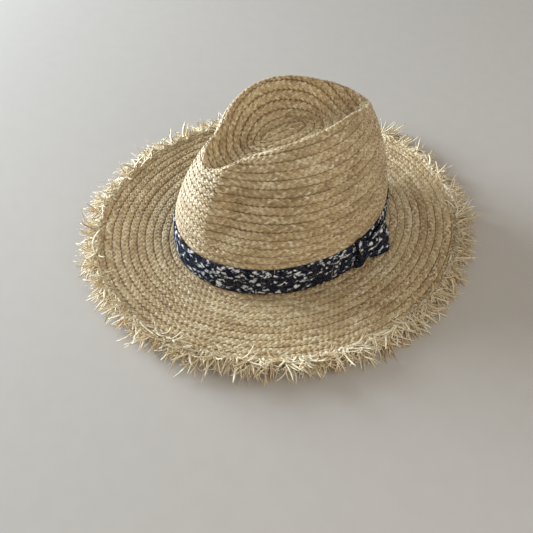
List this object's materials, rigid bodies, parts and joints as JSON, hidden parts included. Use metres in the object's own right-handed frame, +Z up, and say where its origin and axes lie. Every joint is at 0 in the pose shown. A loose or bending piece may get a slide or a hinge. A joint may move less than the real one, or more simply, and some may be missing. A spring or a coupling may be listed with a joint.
{
  "type": "straw sun hat",
  "caption": "Woven straw sun hat with a pinched teardrop crown, a wide fringed brim, a knotted printed cloth band and an inner sweatband.",
  "frame": {"origin": "middle of the hat's outline, on the surface that it stands on", "axes": "+Z up through the crown, -Y to the front of the hat, +X to the wearer's left"},
  "size_m": [0.3358, 0.378, 0.1284],
  "materials": {
    "woven_straw": "plaited natural raffia, dry and slightly shiny along the strands",
    "loose_straw": "loose raffia ends, paler and flat",
    "printed_cloth": "navy cotton printed with small grey-white dabs",
    "ribbon": "ribbed grosgrain ribbon",
    "sewing_thread": "waxed cotton thread"
  },
  "bodies": {
    "root": {"band_knot": "printed_cloth", "band_tacks": "sewing_thread", "band_tail": "printed_cloth", "brim_fringe": "loose_straw", "brim_row_01": "woven_straw", "brim_row_02": "woven_straw", "brim_row_03": "woven_straw", "brim_row_04": "woven_straw", "brim_row_05": "woven_straw", "brim_row_06": "woven_straw", "brim_row_07": "woven_straw", "brim_row_08": "woven_straw", "brim_row_09": "woven_straw", "brim_row_10": "woven_straw", "brim_row_thread": "sewing_thread", "crown_row_thread": "sewing_thread", "crown_side_row_01": "woven_straw", "crown_side_row_02": "woven_straw", "crown_side_row_03": "woven_straw", "crown_side_row_04": "woven_straw", "crown_side_row_05": "woven_straw", "crown_side_row_06": "woven_straw", "crown_side_row_07": "woven_straw", "crown_side_row_08": "woven_straw", "crown_side_row_09": "woven_straw", "crown_side_row_10": "woven_straw", "crown_side_row_11": "woven_straw", "crown_side_row_12": "woven_straw", "crown_side_row_13": "woven_straw", "crown_side_row_14": "woven_straw", "crown_side_row_15": "woven_straw", "crown_side_row_16": "woven_straw", "crown_side_row_17": "woven_straw", "crown_tip_centre": "woven_straw", "crown_tip_row_01": "woven_straw", "crown_tip_row_02": "woven_straw", "crown_tip_row_03": "woven_straw", "crown_tip_row_04": "woven_straw", "crown_tip_row_05": "woven_straw", "crown_tip_row_06": "woven_straw", "crown_tip_row_07": "woven_straw", "hat_band": "printed_cloth", "sweatband": "ribbon", "sweatband_thread": "sewing_thread"}
  },
  "joints": []
}
